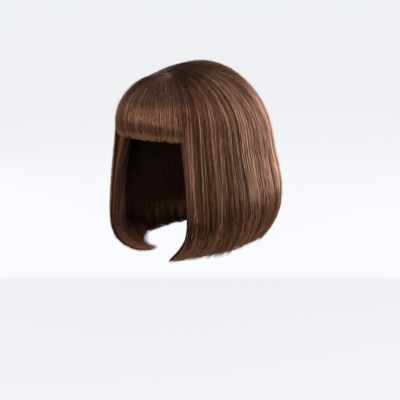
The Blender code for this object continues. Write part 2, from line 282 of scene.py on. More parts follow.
def fringe_fall(azimuth, top, across):
    """The fall of the fringe: straight down, with its tips turned in a little."""
    curl, length = read_table(FRINGE_FALL, azimuth) * (FRINGE_CURL, FRINGE_LENGTH)
    tip = top - across * curl
    tip[2] = -length
    drop = top[2] - tip[2]
    before_tip = tip + across * curl * FRINGE_HANDLE - DOWN * drop * FALL_HANDLE
    return bezier(top, top + DOWN * drop * FRINGE_HANDLE, before_tip, tip)


def combed_line(azimuth, is_fringe):
    """Outside over the dome, outside down the fall, inside on the cap, thickness, way across."""
    off = CAP_WALL + HAIR_GAP
    edge = ring_point(azimuth)
    out = (edge - PATCH_CENTRE) / np.linalg.norm(edge - PATCH_CENTRE)
    start = PATCH_CENTRE + out / np.linalg.norm(out / PATCH_HALF)
    reach = np.linalg.norm(edge - start)
    across = np.array([*out, 0.0])
    bow = np.sin(np.linspace(0, math.pi / 2, LINE_STEPS))

    plan = start + out * (reach * bow)[:, None]
    height = dome_height(plan[:, 0], plan[:, 1])
    root = head_height(start[0], start[1], off) + ROOT_THICKNESS
    height = height - (height[0] - root) * np.exp(-(reach * bow / ROOT_FADE) ** 2)
    dome = np.column_stack([plan, height])

    leave = -CAP_FRONT_RIM if is_fringe else max(height[-1], CAP_WALL - HEAD_DEPTH)
    tries = start + out * np.linspace(0, reach, TRIES)[:, None]
    heights = head_height(tries[:, 0], tries[:, 1], off)
    on_cap = (head_share(tries[:, 0], tries[:, 1], off) < 1) & (heights > leave)
    near = reach * (np.count_nonzero(on_cap) - 1) / (TRIES - 1)
    plan = start + out * (near * bow)[:, None]
    lining = np.column_stack([plan, head_height(plan[:, 0], plan[:, 1], off)])

    fall = (fringe_fall if is_fringe else side_fall)(azimuth, dome[-1], across)
    return dome, fall, lining, reach - near, across


# %% [markdown]
# ## Guide surfaces
#
# The strands need a surface to follow. A guide is a plain grid: its first UV coordinate runs across
# a piece of hair and its second from root to tip, so a strand is just a line of constant U. Two
# attributes ride along: where the inside of the hair is, and which way is out. Locks are raised in
# the guide, so that whole groups of strands stand out together.

# %% Guides
DOME_ROWS = 30
FALL_ROWS = 34
WHORL_SHARE = 0.25
WHORL_GAP = 0.0004
LOCK_UNEVEN = 0.2
EDGE_THINNING = 0.55
EDGE_WIDTH = 2.4
EDGE_START = 0.08
EDGE_RUN = 0.25
EDGE_TUCK = 0.25
FALL_THINNING = 0.6
FURROW_WIDTH = 1.6
DOME_GROWTH = 0.75
DOME_GROWTH_POWER = 1.4
TIP_FLATTENING = 0.45
RIB_MIDDLE = 0.6


def wobble(number, seed):
    """An even-looking value from -1 to 1 for a lock, the same on every run."""
    return math.sin(12.9898 * number + 4.1414 * seed + 1.7 * math.sin(3.1 * number + seed))


def lock_relief(azimuth, start, end, locks, seed):
    """How high a lock stands at an azimuth: 0 in a groove and near 1 on a crest."""
    bounds = []
    for lock in range(locks + 1):
        shift = LOCK_UNEVEN * wobble(lock, seed) if 0 < lock < locks else 0.0
        bounds.append(start + (end - start) * (lock + shift) / locks)
    lock = min(max(int(np.searchsorted(bounds, azimuth, side="right")) - 1, 0), locks - 1)
    share = (azimuth - bounds[lock]) / (bounds[lock + 1] - bounds[lock])
    crest = 1 - LOCK_UNEVEN + LOCK_UNEVEN * wobble(lock, seed + 7)
    return crest * (1 - (2 * share - 1) ** 2)


def hair_column(azimuth, rib, is_fringe):
    """Outside, inside and way out of one column of a guide, from root to tip."""
    dome, fall, lining, thickness, across = combed_line(azimuth, is_fringe)
    dome_shares = np.linspace(0, 1, DOME_ROWS)
    fall_shares = np.linspace(0, 1, FALL_ROWS + 1)[1:]
    outer = np.vstack([spaced(dome, dome_shares), spaced(fall, fall_shares)])
    normal = np.cross(np.gradient(outer, axis=0), (-across[1], across[0], 0.0))
    normal /= np.linalg.norm(normal, axis=1)[:, None]

    below_fringe = np.clip((fall_shares - EDGE_START) / EDGE_RUN, 0, 1)
    edge = EDGE_THINNING * math.exp(-((abs(azimuth) - FRINGE_EDGE) / EDGE_WIDTH) ** 2)
    edge = 0.0 if is_fringe else edge
    left = TIP_THICKNESS + (thickness - TIP_THICKNESS) * (1 - fall_shares) ** FALL_THINNING
    left = left * (1 - edge * below_fringe)
    inner_fall = outer[DOME_ROWS:] - normal[DOME_ROWS:] * left[:, None]
    inner = np.vstack([spaced(lining, dome_shares), inner_fall])

    depth = FRINGE_LOCK_DEPTH if is_fringe else LOCK_DEPTH
    furrow = 0.0 if is_fringe else math.exp(-((abs(azimuth) - SIDE_EDGE) / FURROW_WIDTH) ** 2)
    grown = np.concatenate([DOME_GROWTH * dome_shares ** DOME_GROWTH_POWER,
                            DOME_GROWTH + (1 - DOME_GROWTH) * fall_shares])
    grown[DOME_ROWS:] *= 1 - TIP_FLATTENING * fall_shares ** 3
    relief = grown * ((rib - RIB_MIDDLE) * depth - furrow * FURROW_DEPTH)
    relief[DOME_ROWS:] -= edge * EDGE_TUCK * below_fringe * left
    outer = outer + normal * relief[:, None]
    whorl = whorl_point(outer[0], across)
    return np.vstack([whorl, outer]), np.vstack([whorl, inner]), np.vstack([normal[:1], normal])


def whorl_point(root, across):
    """Where a combed line starts: on the patch, a little outside the middle of the whorl."""
    plan = PATCH_CENTRE + (root[:2] - PATCH_CENTRE) * WHORL_SHARE
    off = CAP_WALL + PATCH_GAP + PATCH_THICKNESS + WHORL_GAP
    return np.array([*plan, head_height(plan[0], plan[1], off)])


def make_guide(name, start, end, columns, locks, seed, is_fringe=False, mirror=False):
    """Grids of a piece of hair: outside, inside and way out, by column and row."""
    grids = [], [], []
    for azimuth in np.linspace(start, end, columns):
        rib = lock_relief(azimuth, start, end, locks, seed)
        turned = -azimuth if mirror else azimuth
        turned = turned - 360 if turned > 180 else turned
        for grid, points in zip(grids, hair_column(turned, rib, is_fringe)):
            grid.append(points)
    outer, inner, out = (np.array(grid) for grid in grids)
    middle_row = outer[:, DOME_ROWS + 1]
    breadth = np.linalg.norm(np.diff(middle_row, axis=0), axis=1).sum()
    steps = np.linalg.norm(np.diff(outer, axis=1), axis=2).mean(axis=0)
    lengths = np.concatenate([[0.0], np.cumsum(steps)])
    print(f"{name}: {breadth * 1000:.0f} mm across, {lengths[-1] * 1000:.0f} mm from root to tip")
    flow = np.gradient(outer, axis=1)
    flow /= np.linalg.norm(flow, axis=2)[:, :, None]
    return {"name": name, "outer": outer, "inner": inner, "out": out, "flow": flow,
            "breadth": float(breadth), "length": float(lengths[-1]), "along": lengths / lengths[-1]}


def grid_faces(columns, rows, first=0, flipped=False):
    """Quads between the points of a grid, numbered column by column."""
    index = first + np.arange(columns * rows).reshape(columns, rows)
    quads = np.stack([index[:-1, :-1], index[1:, :-1], index[1:, 1:], index[:-1, 1:]], axis=-1)
    quads = quads.reshape(-1, 4)
    return quads[:, ::-1] if flipped else quads


def write_comb(mesh, u, v, name):
    """Give every corner of a mesh its place across and along the hair as a UV."""
    corners = np.empty(len(mesh.loops), dtype=np.int32)
    mesh.loops.foreach_get("vertex_index", corners)
    layer = mesh.uv_layers.new(name=name)
    layer.uv.foreach_set("vector", np.column_stack([u, v])[corners].ravel())


def add_object(name, mesh):
    """Put a mesh in the scene."""
    thing = bpy.data.objects.new(name, mesh)
    bpy.context.scene.collection.objects.link(thing)
    return thing


def guide_object(guide):
    """The guide as a mesh that Geometry Nodes can sample by UV."""
    columns, rows = guide["outer"].shape[:2]
    mesh = bpy.data.meshes.new(guide["name"] + "_guide")
    mesh.from_pydata(guide["outer"].reshape(-1, 3), [], grid_faces(columns, rows).tolist())
    u, v = np.meshgrid(np.linspace(0, 1, columns), guide["along"], indexing="ij")
    write_comb(mesh, u.ravel(), v.ravel(), "comb")
    for name in ("inner", "out", "flow"):
        attribute = mesh.attributes.new(name, "FLOAT_VECTOR", "POINT")
        attribute.data.foreach_set("vector", guide[name].ravel())
    return add_object(guide["name"] + "_guide", mesh)


guides = {
    "fringe": make_guide("fringe", -FRINGE_EDGE, FRINGE_EDGE, 121, 8, 1, is_fringe=True),
    "left_side": make_guide("left_side", FRINGE_EDGE, SIDE_EDGE, 121, 6, 2),
    "right_side": make_guide("right_side", FRINGE_EDGE, SIDE_EDGE, 121, 6, 2, mirror=True),
    "back": make_guide("back", SIDE_EDGE, 360 - SIDE_EDGE, 321, 14, 3),
}

# %% [markdown]
# ## Strands by Geometry Nodes
#
# A wig has far too many fibres to model one by one, and they all obey the same rule, which is what
# Geometry Nodes are for. The tree scatters roots, turns each root into a line of points from root
# to tip, looks every point up on the guide by its UV, and gives the line a small roof-shaped
# section. Clumping, wander, lift and ragged tips are numbers that change the UV or the height
# before the lookup, so the strands keep to the form, and only some tips reach a little past it.
# The strands lie in a few sheets, and the lower sheets are painted darker, as painted shade. A small share
# is painted bright, as painted glints.

# %% Small helpers for trees


def add_node(tree, kind, inputs=None, **settings):
    """Add a node, set its options, and fill or link its inputs by name or number."""
    node = tree.nodes.new(kind)
    for name, value in settings.items():
        setattr(node, name, value)
    for key, value in (inputs or {}).items():
        if isinstance(value, bpy.types.NodeSocket):
            tree.links.new(value, node.inputs[key])
        else:
            node.inputs[key].default_value = value
    return node


def computed(tree, kind, inputs=None, **settings):
    """Add a node and return its first output."""
    return add_node(tree, kind, inputs, **settings).outputs[0]


def maths(operation, *values, clamp=False):
    """One arithmetic node, in the tree of the sockets that it is given; returns its output."""
    tree = next(value.id_data for value in values if isinstance(value, bpy.types.NodeSocket))
    node = add_node(tree, "ShaderNodeMath", dict(enumerate(values)), operation=operation, use_clamp=clamp)
    return node.outputs[0]


def plus(first, *others):
    """A sum."""
    for other in others:
        first = maths("ADD", first, other)
    return first


def minus(first, second):
    """A difference."""
    return maths("SUBTRACT", first, second)


def times(first, *others):
    """A product."""
    for other in others:
        first = maths("MULTIPLY", first, other)
    return first


def scaled(value, factor, offset, clamp=False):
    """A value times a factor, plus an offset."""
    return maths("MULTIPLY_ADD", value, factor, offset, clamp=clamp)


def mixed(factor, first, second):
    """A number mixed between two others."""
    return scaled(minus(second, first), factor, first)


def up_to_one(value, rate):
    """A value that grows at a rate and stops at 1."""
    return maths("MULTIPLY", value, rate, clamp=True)


# %% The tree
# Lengths are in metres along or across the hair. Shares, tones and contrasts have no unit.
STRAND_INPUTS = {
    "Guide": "NodeSocketObject",
    "Material": "NodeSocketMaterial",
    "Strands": 1000,
    "Points": 14,
    "Seed": 1,
    "Width": 0.00040,
    "Breadth": 0.15,
    "Length": 0.3,
    "First u": 0.0,
    "Last u": 1.0,
    "Root spread": 0.45,
    "Root gap": 0.03,
    "Root reach": 1.0,
    "Ragged": 0.009,
    "Overhang": 0.003,
    "Edge overhang": 0.0,
    "Tip length": 0.082,
    "Tuft": 0.009,
    "Tuft pull": 0.12,
    "Wisp": 0.0026,
    "Wisp pull": 0.60,
    "Wisp lift": 0.0010,
    "Sway": 0.009,
    "Stray": 0.0060,
    "Splay": 0.024,
    "Weave": 0.004,
    "Lift": 0.0004,
    "Sheet rise": 0.0012,
    "Sheet power": 1.8,
    # Painted shade: how much darker the lower sheets are.
    "Low shade": 0.82,
    "Contrast": 1.0,
    "Deep contrast": 0.0,
    "Bright share": 0.075,
    "Edge share": 0.0,
    "Through share": 0.10,
    "Inside share": 0.18,
    "Lit edge": -1.0,
    "Lit taper": 0.0,
    # Painted light: how much lighter deep strands are near the front edge.
    "Edge tone": 0.0,
    # Painted shade: how much darker a piece is near its front edge.
    "Front tone": 0.0,
    # Painted shade and light: a band low on each piece, made darker or lighter per piece.
    "Low tone": 0.0,
    "Low middle": 0.80,
    "Low half": 0.22,
}
NUMBER_SOCKETS = {int: "NodeSocketInt", float: "NodeSocketFloat"}


def start_tree():
    """An empty tree with the inputs of the strands."""
    tree = bpy.data.node_groups.new("comb_strands", "GeometryNodeTree")
    tree.interface.new_socket("Geometry", in_out="OUTPUT", socket_type="NodeSocketGeometry")
    for name, value in STRAND_INPUTS.items():
        kind = NUMBER_SOCKETS.get(type(value), value)
        socket = tree.interface.new_socket(name, in_out="INPUT", socket_type=kind)
        if kind != value:
            socket.default_value = value
    return tree, add_node(tree, "NodeGroupInput").outputs


def chance(tree, given, number, low=0.0, high=1.0):
    """A random number for each root; each number has a seed of its own."""
    seed = plus(given["Seed"], number)
    index = computed(tree, "GeometryNodeInputIndex")
    return add_node(tree, "FunctionNodeRandomValue",
                    {2: low, 3: high, "ID": index, "Seed": seed}).outputs[1]


def stored(tree, geometry, name, value, kind="FLOAT", domain="POINT"):
    """Write an attribute and pass the geometry on."""
    return add_node(tree, "GeometryNodeStoreNamedAttribute",
                    {"Geometry": geometry, "Name": name, "Value": value},
                    data_type=kind, domain=domain).outputs["Geometry"]


def named(tree, name, kind="FLOAT"):
    """Read an attribute."""
    return computed(tree, "GeometryNodeInputNamedAttribute", {"Name": name}, data_type=kind)


def joined(tree, across, along, third=0.0):
    """A vector from its numbers."""
    return computed(tree, "ShaderNodeCombineXYZ", {0: across, 1: along, 2: third})


def noise(tree, vector, scale=1.0, detail=1.0):
    """Soft noise about 0.5."""
    inputs = {"Vector": vector, "Scale": scale, "Detail": detail}
    return add_node(tree, "ShaderNodeTexNoise", inputs).outputs["Fac"]


def soft_noise(tree, across, along, third=0.0):
    """Noise from -0.5 to 0.5 that changes slowly over a place."""
    return minus(noise(tree, joined(tree, across, along, third)), 0.5)


# %% Roots
SHEETS = 5
LACE_SHARE = 0.35
EDGE_BAND = 0.04
SHORT_POWER = 2.5
INSIDE_BAND = 0.12
TOP_DEPTH = 0.001


def scatter_roots(tree, given):
    """Roots across the piece, each with its own depth, length and tone."""
    draw = partial(chance, tree, given)
    index = computed(tree, "GeometryNodeInputIndex")
    even = maths("DIVIDE", plus(index, draw(1)), given["Strands"])
    on_edge = maths("LESS_THAN", draw(2), given["Edge share"])
    root_u = mixed(on_edge, even, times(draw(3), EDGE_BAND))
    root_u = mixed(root_u, given["First u"], given["Last u"])
    root_v = times(draw(4), given["Root spread"])
    on_lace = maths("LESS_THAN", draw(13), LACE_SHARE)
    root_v = maths("MAXIMUM", root_v, times(given["Root gap"], minus(1.0, on_lace)))
    short = times(maths("POWER", draw(5), SHORT_POWER), given["Ragged"])

    layer = draw(6)
    through = maths("GREATER_THAN", layer, minus(1.0, given["Through share"]))
    inside = maths("LESS_THAN", layer, given["Inside share"])
    depth = draw(7)
    deep = times(depth, maths("MAXIMUM", through, on_edge))
    deep = mixed(inside, deep, scaled(depth, INSIDE_BAND, 1.0 - INSIDE_BAND))
    height = maths("POWER", draw(11), given["Sheet power"])
    sheet = maths("DIVIDE", maths("FLOOR", times(height, SHEETS)), SHEETS - 1.0)
    # Painted glints: a small share of the strands that show is made pale, standing for the glints of single
    # fibres.
    bright = maths("LESS_THAN", draw(12), given["Bright share"])
    on_top = maths("LESS_THAN", deep, TOP_DEPTH)
    shown = maths("MAXIMUM", maths("MAXIMUM", on_top, on_edge), inside)
    bright = times(bright, shown)
    sheet = maths("MAXIMUM", sheet, times(bright, on_top))

    roots = computed(tree, "GeometryNodePoints", {"Count": given["Strands"]})
    values = {"root_u": root_u, "root_v": root_v, "short": short, "deep": deep, "sheet": sheet,
              "bright": bright, "reach": draw(14), "tone": draw(8),
              "rise": draw(9), "stray": draw(10, -1.0, 1.0)}
    for name, value in values.items():
        roots = stored(tree, roots, name, value)
    return roots


def draw_lines(tree, given, roots):
    """One line of points for each root."""
    line = computed(tree, "GeometryNodeCurvePrimitiveLine", {"End": (0.0, 0.0, 1.0)})
    line = computed(tree, "GeometryNodeResampleCurve", {"Curve": line, "Count": given["Points"]})
    lines = computed(tree, "GeometryNodeInstanceOnPoints", {"Points": roots, "Instance": line})
    return computed(tree, "GeometryNodeRealizeInstances", {"Geometry": lines})


# %% Wisps and tufts
BEND_RATE = (140.0, 1.2)
BEND_REACH = 1.6


def gather(tree, lane, v, size, pull, seed):
    """Pull strands towards the middle of their group; returns the shift, the group's own number and
    how near the middle a strand is, from 0 to 1."""
    bend = soft_noise(tree, times(lane, BEND_RATE[0]), times(v, BEND_RATE[1]), seed)
    bent = plus(lane, times(bend, times(size, BEND_REACH)))
    group = maths("FLOOR", maths("DIVIDE", bent, size))
    to_centre = minus(times(plus(group, 0.5), size), bent)
    ridge = scaled(maths("DIVIDE", maths("ABSOLUTE", to_centre), size), -2.0, 1.0)
    number = add_node(tree, "ShaderNodeTexWhiteNoise", {"W": plus(group, seed)},
                      noise_dimensions="1D").outputs["Value"]
    return times(to_centre, pull), number, ridge


# %% Place of a strand
LONG_EDGE = 0.045
SHEET_SEED = 37.3
TUFT_SEED = 3.0
WISP_SEED = 8.0
STRAY_SEED = 9.0
TUFT_POWER = 1.5
TUFT_UNEVEN = 0.25
WISP_UNEVEN = 0.35
WISP_START = 3.0
WISP_SIZES = (0.75, 0.5)
SWAY_RATE = (25.0, 2.0)
STRAY_RATE = (60.0, 3.5)
BRIGHT_STRAY = 0.3
SPLAY_POWER = 7.0
U_MARGIN = 0.001


def comb_place(tree, given):
    """Where each point lies across and along the guide."""
    t = add_node(tree, "GeometryNodeSplineParameter").outputs["Factor"]
    sheet, reach = named(tree, "sheet"), named(tree, "reach")
    own = times(sheet, SHEET_SEED)
    lane = times(named(tree, "root_u"), given["Breadth"])
    rough_v = mixed(t, named(tree, "root_v"), 1.0)
    pull = times(maths("POWER", rough_v, TUFT_POWER), given["Tuft pull"])
    tuft_shift, tuft, _ = gather(tree, lane, rough_v, given["Tuft"], pull, plus(own, TUFT_SEED))
    pull = times(up_to_one(rough_v, WISP_START), given["Wisp pull"])
    size = times(given["Wisp"], scaled(sheet, WISP_SIZES[1], WISP_SIZES[0]))
    wisp_shift, wisp, ridge = gather(tree, lane, rough_v, size, pull, plus(own, WISP_SEED))

    uneven = plus(times(tuft, TUFT_UNEVEN), times(wisp, WISP_UNEVEN))
    short = plus(named(tree, "short"), times(uneven, given["Ragged"]))
    near_edge = scaled(lane, -1 / LONG_EDGE, 1.0, clamp=True)
    overhang = scaled(near_edge, times(given["Edge overhang"], reach), given["Overhang"])
    tip_v = plus(1.0, maths("DIVIDE", minus(overhang, short), given["Length"]))
    v = mixed(t, named(tree, "root_v"), tip_v)

    sway = soft_noise(tree, times(lane, SWAY_RATE[0]), times(v, SWAY_RATE[1]), own)
    sway = times(sway, given["Sway"])
    stray = soft_noise(tree, times(named(tree, "stray"), STRAY_RATE[0]), times(v, STRAY_RATE[1]), STRAY_SEED)
    stray = times(stray, given["Stray"], scaled(named(tree, "bright"), BRIGHT_STRAY, 1.0))
    splay = times(minus(reach, 0.5), given["Splay"], maths("POWER", v, SPLAY_POWER))
    lane = plus(lane, tuft_shift, wisp_shift, sway, stray, splay)
    u = maths("DIVIDE", lane, given["Breadth"])
    u = maths("MINIMUM", maths("MAXIMUM", u, U_MARGIN), 1.0 - U_MARGIN)
    return {"t": t, "v": v, "u": u, "lane": lane, "near_edge": near_edge, "wisp": wisp, "ridge": ridge}


# %% Tone of a strand
WISP_TONE = 0.36
OWN_TONE = 0.34
RIDGE_TONE = 0.50
PAINTED_GLINT_TONE = 0.38
GROWN_RATE = 1.7
ROOT_BRIGHTNESS = 0.15
TIP_WIDENING = 3.5
WIDENING_POWER = 8.0
TAPER_START = -0.55
TAPER_GAIN = 1.9
EDGE_FADE = 0.020
DEEP_RATE = 2.5


def comb_tone_light_and_shade(tree, given, place):
    """How light each point is, with painted glints and painted light and shade by place, and how much
    painted shade it takes inside the wig and on lower sheets.
    """
    v, near_edge = place["v"], place["near_edge"]
    sheet, deep = named(tree, "sheet"), named(tree, "deep")
    tone = scaled(place["wisp"], WISP_TONE, times(named(tree, "tone"), OWN_TONE))
    tone = plus(tone, times(maths("POWER", place["ridge"], 2.0), RIDGE_TONE))
    tone = mixed(scaled(given["Deep contrast"], deep, given["Contrast"]), 0.5, tone)
    grown = scaled(up_to_one(v, GROWN_RATE), 1.0 - ROOT_BRIGHTNESS, ROOT_BRIGHTNESS)
    # Painted highlight: the glint strands are lighter, less so near the root.
    bright = times(named(tree, "bright"), times(grown, PAINTED_GLINT_TONE))
    # Painted light: deep strands near the front edge of the right curtain are lighter, as if lit through the
    # face opening.
    painted_edge_light = times(near_edge, times(given["Edge tone"], deep))
    # Painted shade: the left side is darker near its front edge.
    painted_front_shade = times(near_edge, given["Front tone"])
    # Painted shade and light: a band low on each piece, darker on the left side and the fringe and lighter
    # at the back.
    off_low = maths("DIVIDE", maths("ABSOLUTE", minus(v, given["Low middle"])), given["Low half"])
    low = times(maths("SUBTRACT", 1.0, off_low, clamp=True), given["Low tone"])
    tone = plus(tone, bright, painted_edge_light, painted_front_shade, low)

    # Painted shade: inside the wig, strands darken with depth away from the front edges of the curtains,
    # which are left lit.
    taper = scaled(maths("POWER", v, 2.0), TAPER_GAIN, TAPER_START)
    taper = mixed(given["Lit taper"], 1.0, taper)
    wider = scaled(maths("POWER", v, WIDENING_POWER), TIP_WIDENING, taper)
    inward = minus(place["lane"], times(given["Lit edge"], wider))
    inside = times(up_to_one(inward, 1 / EDGE_FADE), up_to_one(deep, DEEP_RATE))
    # Painted shade: lower sheets, except inside the wig, blend towards the near-black brown.
    below = times(minus(1.0, sheet), given["Low shade"], minus(1.0, deep), scaled(grown, 0.5, 0.5))
    return {"tone": tone, "dark": maths("ADD", inside, below, clamp=True)}


# %% On the form
SET_DOWN = -0.0010
GUIDE_END = 0.999
FRESH_RATE = 6.0
FRESH_DEPTH = 0.12
FRESH_START = 0.05
WISP_MIDDLE = 0.8
WEAVE_RATE = (90.0, 9.0)
WEAVE_SEED = 21.0
LIFT_RATE = 8.0
INNER_DEPTH = 0.6


def on_guide(tree, given, value, place):
    """A vector of the guide, at a place across and along it."""
    guide = add_node(tree, "GeometryNodeObjectInfo", {"Object": given["Guide"]}).outputs["Geometry"]
    return add_node(tree, "GeometryNodeSampleUVSurface",
                    {"Mesh": guide, "Value": value, 2: named(tree, "comb", "FLOAT_VECTOR"), 3: place},
                    data_type="FLOAT_VECTOR").outputs["Value"]


def stretched(tree, way, length):
    """A direction times a length."""
    return computed(tree, "ShaderNodeVectorMath", {0: way, "Scale": length}, operation="SCALE")


def moved(tree, point, way, length):
    """A point moved along a direction."""
    step = stretched(tree, way, length)
    return computed(tree, "ShaderNodeVectorMath", {0: point, 1: step}, operation="ADD")


def strand_lift(tree, given, place):
    """How far each point stands off its sheet."""
    v = place["v"]
    wisp = minus(plus(place["wisp"], place["ridge"]), WISP_MIDDLE)
    wisp = times(wisp, given["Wisp lift"], up_to_one(v, WISP_START))
    rise = scaled(named(tree, "rise"), given["Lift"], SET_DOWN)
    weave = soft_noise(tree, times(named(tree, "stray"), WEAVE_RATE[0]), times(v, WEAVE_RATE[1]), WEAVE_SEED)
    weave = times(weave, named(tree, "bright"), given["Weave"])
    lift = plus(wisp, rise, times(named(tree, "sheet"), given["Sheet rise"]), weave)
    return times(lift, up_to_one(v, LIFT_RATE))


def lay_on_form(tree, given, lines, place):
    """Move every point to its place on the guide, at its own depth and lift."""
    v, deep = place["v"], named(tree, "deep")
    spot = joined(tree, place["u"], maths("MINIMUM", v, GUIDE_END))
    outer = on_guide(tree, given, computed(tree, "GeometryNodeInputPosition"), spot)
    inner, out, flow = (on_guide(tree, given, named(tree, name, "FLOAT_VECTOR"), spot)
                        for name in ("inner", "out", "flow"))

    fresh = maths("SUBTRACT", 1.0, times(place["t"], FRESH_RATE), clamp=True)
    fresh = times(fresh, fresh, FRESH_DEPTH, maths("GREATER_THAN", named(tree, "root_v"), FRESH_START))
    depth = maths("ADD", deep, fresh, clamp=True)
    point = add_node(tree, "ShaderNodeMix", {0: depth, 4: outer, 5: inner}, data_type="VECTOR").outputs[1]
    point = moved(tree, point, out, strand_lift(tree, given, place))
    over = times(maths("MAXIMUM", minus(v, GUIDE_END), 0.0), given["Length"])
    point = moved(tree, point, flow, over)
    lines = computed(tree, "GeometryNodeSetPosition", {"Geometry": lines, "Position": point})

    from_root = maths("DIVIDE", times(v, given["Length"]), given["Root reach"])
    from_tip = maths("DIVIDE", times(minus(1.0, v), given["Length"]), given["Tip length"])
    values = {"lane": place["lane"], **comb_tone_light_and_shade(tree, given, place), "along": v,
              "from_root": from_root, "from_tip": from_tip}
    for name, value in values.items():
        lines = stored(tree, lines, name, value)
    facing = stretched(tree, out, scaled(maths("GREATER_THAN", deep, INNER_DEPTH), -2.0, 1.0))
    return computed(tree, "GeometryNodeSetCurveNormal", {"Curve": lines, "Normal": facing},
                    mode="FREE")


# %% Section and finish
ROOF_RADIUS = 0.58
ROOF_ANGLE = math.radians(60)
TIP_NARROWING = -0.5
ROOT_WIDTH = 0.35
FULL_WIDTH_RATE = 8.0
BRIGHT_WIDENING = 0.6


def give_section(tree, given, lines, t):
    """A roof-shaped section, one width across, fine at the root and finer at the tip."""
    tip = scaled(maths("POWER", t, WIDENING_POWER), TIP_NARROWING, 1.0)
    root = scaled(t, FULL_WIDTH_RATE, ROOT_WIDTH, clamp=True)
    width = times(tip, root, given["Width"], scaled(named(tree, "bright"), BRIGHT_WIDENING, 1.0))
    roof = computed(tree, "GeometryNodeCurveArc",
                    {"Resolution": 3, "Radius": ROOF_RADIUS, "Start Angle": -ROOF_ANGLE,
                     "Sweep Angle": 2 * ROOF_ANGLE})
    roof = stored(tree, roof, "side", add_node(tree, "GeometryNodeSplineParameter").outputs["Factor"])
    strands = computed(tree, "GeometryNodeCurveToMesh",
                       {"Curve": lines, "Profile Curve": roof, "Scale": width})
    flat = joined(tree, named(tree, "side"), named(tree, "along"))
    return stored(tree, strands, "fibre", flat, "FLOAT2", "CORNER")


def strand_tree():
    """Comb strands over a guide."""
    tree, given = start_tree()
    lines = draw_lines(tree, given, scatter_roots(tree, given))
    place = comb_place(tree, given)
    lines = lay_on_form(tree, given, lines, place)
    mesh = give_section(tree, given, lines, place["t"])
    mesh = computed(tree, "GeometryNodeRealizeInstances", {"Geometry": mesh})
    mesh = computed(tree, "GeometryNodeSetShadeSmooth", {"Geometry": mesh})
    mesh = computed(tree, "GeometryNodeSetMaterial",
                    {"Geometry": mesh, "Material": given["Material"]})
    add_node(tree, "NodeGroupOutput", {"Geometry": mesh})
    return tree


strands = strand_tree()
print("comb_strands:", len(strands.nodes), "nodes")

# %% [markdown]
# ## Materials
#
# The fibre is a warm brown with a soft gloss. Every strand has its own tone and neighbouring
# strands share streaks. The ends are painted lighter and redder, as painted light through thin ends.
# The inside is painted nearly black, as painted shade, but not the front edges of the two curtains, where
# light comes in.
# All of that is read from attributes that the strands carry, so it stays on the hair from any
# side. The tangent runs across each strand, which stretches the highlight into the band of light
# that combed hair shows.

# %% Colours
WHITE = (1.0, 1.0, 1.0, 1.0)
BLACK = (0.0, 0.0, 0.0, 1.0)


def linear(red, green, blue):
    """A colour given as it looks on screen, from 0 to 255, as the numbers that a shader needs."""
    values = (red / 255, green / 255, blue / 255)
    return tuple(v / 12.92 if v <= 0.04045 else ((v + 0.055) / 1.055) ** 2.4 for v in values) + (1.0,)


HAIR_DARK = linear(34, 20, 14)
HAIR_BROWN = linear(98, 59, 42)
HAIR_LIGHT = linear(158, 107, 82)
# Top of the ramp: the palest strands and the painted glints.
HAIR_PALE = linear(186, 145, 120)
# Painted light: the lighter, redder colour of the ends, for light shining through thin tips.
HAIR_TIP = linear(216, 144, 106)
# Painted shade: the darkening near the roots.
ROOT_SHADE = (0.20, 0.22, 0.25, 1.0)
# Painted shade: the near-black brown of the inside of the wig and of the lower sheets.
PAINTED_INSIDE_SHADE = linear(22, 14, 11)
GLOSS_TINT = linear(255, 190, 150)
NET_BROWN = linear(38, 28, 23)
LACE_BROWN = linear(120, 90, 78)


def new_material(name, inputs):
    """A material with a Principled shader, its inputs set; returns it, its tree and its shader."""
    material = bpy.data.materials.new(name)
    material.use_nodes = True
    tree = material.node_tree
    tree.nodes.clear()
    output = tree.nodes.new("ShaderNodeOutputMaterial")
    shader = add_node(tree, "ShaderNodeBsdfPrincipled", inputs)
    tree.links.new(shader.outputs[0], output.inputs["Surface"])
    return material, tree, shader


def ramp(tree, factor, stops):
    """A colour ramp through pairs of place and colour; returns its colour."""
    node = add_node(tree, "ShaderNodeValToRGB", {0: factor})
    band = node.color_ramp
    while len(band.elements) < len(stops):
        band.elements.new(0.5)
    for element, (place, colour) in zip(band.elements, stops):
        element.position = place
        element.color = colour
    return node.outputs[0]


def attribute(tree, name):
    """A number that the mesh carries."""
    return add_node(tree, "ShaderNodeAttribute", attribute_name=name).outputs["Fac"]


def blended(tree, factor, first, second, blend_type="MIX"):
    """One colour over another."""
    node = add_node(tree, "ShaderNodeMix", {0: factor, 6: first, 7: second}, data_type="RGBA",
                    blend_type=blend_type)
    return node.outputs[2]


# %% Hair material
STREAKS = (1100.0, 1.5)
STREAK_DETAIL = 3.0
STREAK_TONE = 0.6
TONE_SHIFT = -0.10
ROOT_LENGTH = 0.115
PLAIN_ROOT = (0.75, 0.75, 0.75, 1.0)
BODY_STOPS = [(0.0, HAIR_DARK), (0.4, HAIR_BROWN), (0.75, HAIR_LIGHT), (1.0, HAIR_PALE)]
ROOT_STOPS = [(0.25, WHITE), (1.0, BLACK)]
PLAIN_STOPS = [(0.7, WHITE), (0.95, PLAIN_ROOT)]
TIP_STOPS = [(0.15, BLACK), (0.75, WHITE)]
HAIR_INPUTS = {"Roughness": 0.36, "Metallic": 0.42, "Anisotropic": 0.6, "Specular IOR Level": 0.6,
               "Specular Tint": GLOSS_TINT}


